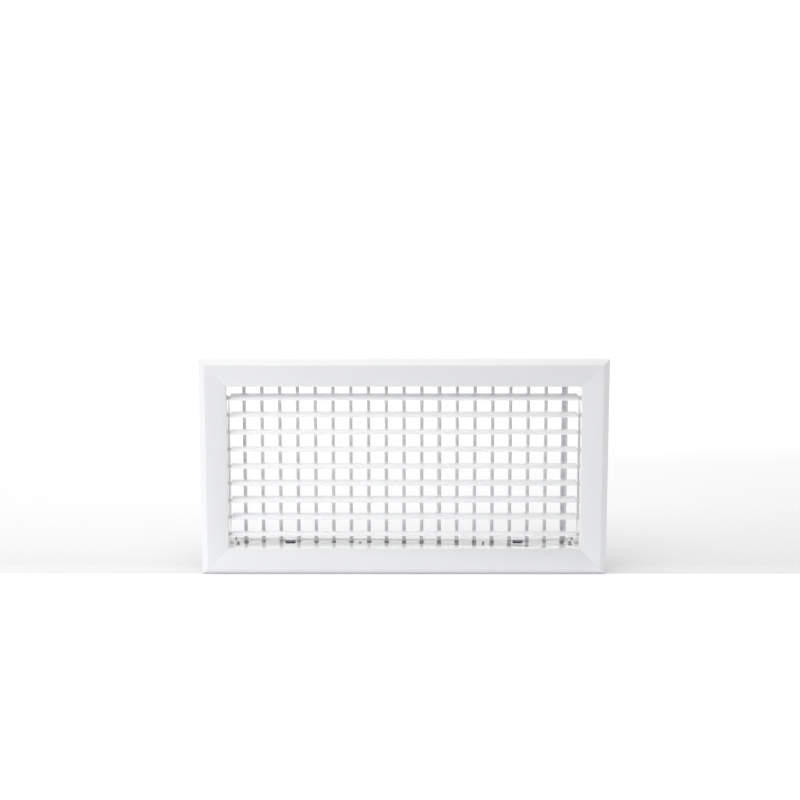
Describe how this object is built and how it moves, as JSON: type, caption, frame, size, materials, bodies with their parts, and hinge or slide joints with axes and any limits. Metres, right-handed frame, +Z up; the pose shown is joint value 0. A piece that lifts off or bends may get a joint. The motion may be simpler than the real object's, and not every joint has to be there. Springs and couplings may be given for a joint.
{
  "type": "louvred air grille",
  "caption": "Wall air grille: bevelled white border, adjustable horizontal front blades and vertical rear blades, sheet neck with spring clips.",
  "frame": {"origin": "centre of the rectangular airway, in the plane of the wall surface that the border's back rests on", "axes": "+X to the right as seen from the room, +Y into the wall along the air path, +Z up"},
  "size_m": [0.44, 0.042, 0.24],
  "materials": {
    "border_paint": "satin",
    "neck_paint": "satin",
    "blade_paint": "satin",
    "nylon": "matte",
    "pin_nylon": "matte",
    "spring_steel": "satin",
    "zinc_steel": "satin",
    "rivet_aluminium": "satin",
    "key_aluminium": "satin",
    "foam": "matte"
  },
  "bodies": {
    "housing": {"frame_top": "border_paint", "frame_bottom": "border_paint", "frame_left": "border_paint", "frame_right": "border_paint", "core_top": "neck_paint", "core_bottom": "neck_paint", "core_left": "neck_paint", "core_right": "neck_paint", "corner_keys": "key_aluminium", "corner_angles": "zinc_steel", "corner_rivets": "rivet_aluminium", "frame_rivets": "rivet_aluminium", "gasket": "foam", "front_bushes_left": "nylon", "front_bushes_right": "nylon", "rear_bushes_top": "nylon", "rear_bushes_bottom": "nylon", "spring_clip_top_left": "spring_steel", "spring_clip_top_right": "spring_steel", "spring_clip_bottom_left": "spring_steel", "spring_clip_bottom_right": "spring_steel"},
    "front_louvre_1": {"front_blade_1": "blade_paint", "front_pins_1": "pin_nylon"},
    "front_louvre_2": {"front_blade_2": "blade_paint", "front_pins_2": "pin_nylon"},
    "front_louvre_3": {"front_blade_3": "blade_paint", "front_pins_3": "pin_nylon"},
    "front_louvre_4": {"front_blade_4": "blade_paint", "front_pins_4": "pin_nylon"},
    "front_louvre_5": {"front_blade_5": "blade_paint", "front_pins_5": "pin_nylon"},
    "front_louvre_6": {"front_blade_6": "blade_paint", "front_pins_6": "pin_nylon"},
    "front_louvre_7": {"front_blade_7": "blade_paint", "front_pins_7": "pin_nylon"},
    "front_louvre_8": {"front_blade_8": "blade_paint", "front_pins_8": "pin_nylon"},
    "front_louvre_9": {"front_blade_9": "blade_paint", "front_pins_9": "pin_nylon"},
    "rear_louvre_01": {"rear_blade_01": "blade_paint"},
    "rear_louvre_02": {"rear_blade_02": "blade_paint"},
    "rear_louvre_03": {"rear_blade_03": "blade_paint"},
    "rear_louvre_04": {"rear_blade_04": "blade_paint"},
    "rear_louvre_05": {"rear_blade_05": "blade_paint"},
    "rear_louvre_06": {"rear_blade_06": "blade_paint"},
    "rear_louvre_07": {"rear_blade_07": "blade_paint"},
    "rear_louvre_08": {"rear_blade_08": "blade_paint"},
    "rear_louvre_09": {"rear_blade_09": "blade_paint"},
    "rear_louvre_10": {"rear_blade_10": "blade_paint"},
    "rear_louvre_11": {"rear_blade_11": "blade_paint"},
    "rear_louvre_12": {"rear_blade_12": "blade_paint"},
    "rear_louvre_13": {"rear_blade_13": "blade_paint"},
    "rear_louvre_14": {"rear_blade_14": "blade_paint"},
    "rear_louvre_15": {"rear_blade_15": "blade_paint"},
    "rear_louvre_16": {"rear_blade_16": "blade_paint"},
    "rear_louvre_17": {"rear_blade_17": "blade_paint"},
    "rear_louvre_18": {"rear_blade_18": "blade_paint"},
    "rear_louvre_19": {"rear_blade_19": "blade_paint"}
  },
  "joints": [
    {"name": "front_louvre_1_tilt", "type": "hinge", "parent": "housing", "child": "front_louvre_1", "pos_m": [0, 0.0005, 0.076], "axis": [1, 0, 0], "range_deg": [-55, 35]},
    {"name": "front_louvre_2_tilt", "type": "hinge", "parent": "housing", "child": "front_louvre_2", "pos_m": [0, 0.0005, 0.057], "axis": [1, 0, 0], "range_deg": [-49, 41]},
    {"name": "front_louvre_3_tilt", "type": "hinge", "parent": "housing", "child": "front_louvre_3", "pos_m": [0, 0.0005, 0.038], "axis": [1, 0, 0], "range_deg": [-45, 45]},
    {"name": "front_louvre_4_tilt", "type": "hinge", "parent": "housing", "child": "front_louvre_4", "pos_m": [0, 0.0005, 0.019], "axis": [1, 0, 0], "range_deg": [-44, 46]},
    {"name": "front_louvre_5_tilt", "type": "hinge", "parent": "housing", "child": "front_louvre_5", "pos_m": [0, 0.0005, 0], "axis": [1, 0, 0], "range_deg": [-45, 45]},
    {"name": "front_louvre_6_tilt", "type": "hinge", "parent": "housing", "child": "front_louvre_6", "pos_m": [0, 0.0005, -0.019], "axis": [1, 0, 0], "range_deg": [-47, 43]},
    {"name": "front_louvre_7_tilt", "type": "hinge", "parent": "housing", "child": "front_louvre_7", "pos_m": [0, 0.0005, -0.038], "axis": [1, 0, 0], "range_deg": [-50, 40]},
    {"name": "front_louvre_8_tilt", "type": "hinge", "parent": "housing", "child": "front_louvre_8", "pos_m": [0, 0.0005, -0.057], "axis": [1, 0, 0], "range_deg": [-49, 41]},
    {"name": "front_louvre_9_tilt", "type": "hinge", "parent": "housing", "child": "front_louvre_9", "pos_m": [0, 0.0005, -0.076], "axis": [1, 0, 0], "range_deg": [-39, 51]},
    {"name": "rear_louvre_01_turn", "type": "hinge", "parent": "housing", "child": "rear_louvre_01", "pos_m": [-0.17325, 0.0195, 0], "axis": [0, 0, 1], "range_deg": [-45, 45]},
    {"name": "rear_louvre_02_turn", "type": "hinge", "parent": "housing", "child": "rear_louvre_02", "pos_m": [-0.154, 0.0195, 0], "axis": [0, 0, 1], "range_deg": [-45, 45]},
    {"name": "rear_louvre_03_turn", "type": "hinge", "parent": "housing", "child": "rear_louvre_03", "pos_m": [-0.13475, 0.0195, 0], "axis": [0, 0, 1], "range_deg": [-45, 45]},
    {"name": "rear_louvre_04_turn", "type": "hinge", "parent": "housing", "child": "rear_louvre_04", "pos_m": [-0.1155, 0.0195, 0], "axis": [0, 0, 1], "range_deg": [-45, 45]},
    {"name": "rear_louvre_05_turn", "type": "hinge", "parent": "housing", "child": "rear_louvre_05", "pos_m": [-0.09625, 0.0195, 0], "axis": [0, 0, 1], "range_deg": [-45, 45]},
    {"name": "rear_louvre_06_turn", "type": "hinge", "parent": "housing", "child": "rear_louvre_06", "pos_m": [-0.077, 0.0195, 0], "axis": [0, 0, 1], "range_deg": [-45, 45]},
    {"name": "rear_louvre_07_turn", "type": "hinge", "parent": "housing", "child": "rear_louvre_07", "pos_m": [-0.05775, 0.0195, 0], "axis": [0, 0, 1], "range_deg": [-45, 45]},
    {"name": "rear_louvre_08_turn", "type": "hinge", "parent": "housing", "child": "rear_louvre_08", "pos_m": [-0.0385, 0.0195, 0], "axis": [0, 0, 1], "range_deg": [-45, 45]},
    {"name": "rear_louvre_09_turn", "type": "hinge", "parent": "housing", "child": "rear_louvre_09", "pos_m": [-0.01925, 0.0195, 0], "axis": [0, 0, 1], "range_deg": [-45, 45]},
    {"name": "rear_louvre_10_turn", "type": "hinge", "parent": "housing", "child": "rear_louvre_10", "pos_m": [0, 0.0195, 0], "axis": [0, 0, 1], "range_deg": [-45, 45]},
    {"name": "rear_louvre_11_turn", "type": "hinge", "parent": "housing", "child": "rear_louvre_11", "pos_m": [0.01925, 0.0195, 0], "axis": [0, 0, 1], "range_deg": [-45, 45]},
    {"name": "rear_louvre_12_turn", "type": "hinge", "parent": "housing", "child": "rear_louvre_12", "pos_m": [0.0385, 0.0195, 0], "axis": [0, 0, 1], "range_deg": [-55, 35]},
    {"name": "rear_louvre_13_turn", "type": "hinge", "parent": "housing", "child": "rear_louvre_13", "pos_m": [0.05775, 0.0195, 0], "axis": [0, 0, 1], "range_deg": [-45, 45]},
    {"name": "rear_louvre_14_turn", "type": "hinge", "parent": "housing", "child": "rear_louvre_14", "pos_m": [0.077, 0.0195, 0], "axis": [0, 0, 1], "range_deg": [-45, 45]},
    {"name": "rear_louvre_15_turn", "type": "hinge", "parent": "housing", "child": "rear_louvre_15", "pos_m": [0.09625, 0.0195, 0], "axis": [0, 0, 1], "range_deg": [-45, 45]},
    {"name": "rear_louvre_16_turn", "type": "hinge", "parent": "housing", "child": "rear_louvre_16", "pos_m": [0.1155, 0.0195, 0], "axis": [0, 0, 1], "range_deg": [-45, 45]},
    {"name": "rear_louvre_17_turn", "type": "hinge", "parent": "housing", "child": "rear_louvre_17", "pos_m": [0.13475, 0.0195, 0], "axis": [0, 0, 1], "range_deg": [-45, 45]},
    {"name": "rear_louvre_18_turn", "type": "hinge", "parent": "housing", "child": "rear_louvre_18", "pos_m": [0.154, 0.0195, 0], "axis": [0, 0, 1], "range_deg": [-45, 45]},
    {"name": "rear_louvre_19_turn", "type": "hinge", "parent": "housing", "child": "rear_louvre_19", "pos_m": [0.17325, 0.0195, 0], "axis": [0, 0, 1], "range_deg": [-19, 71]}
  ]
}
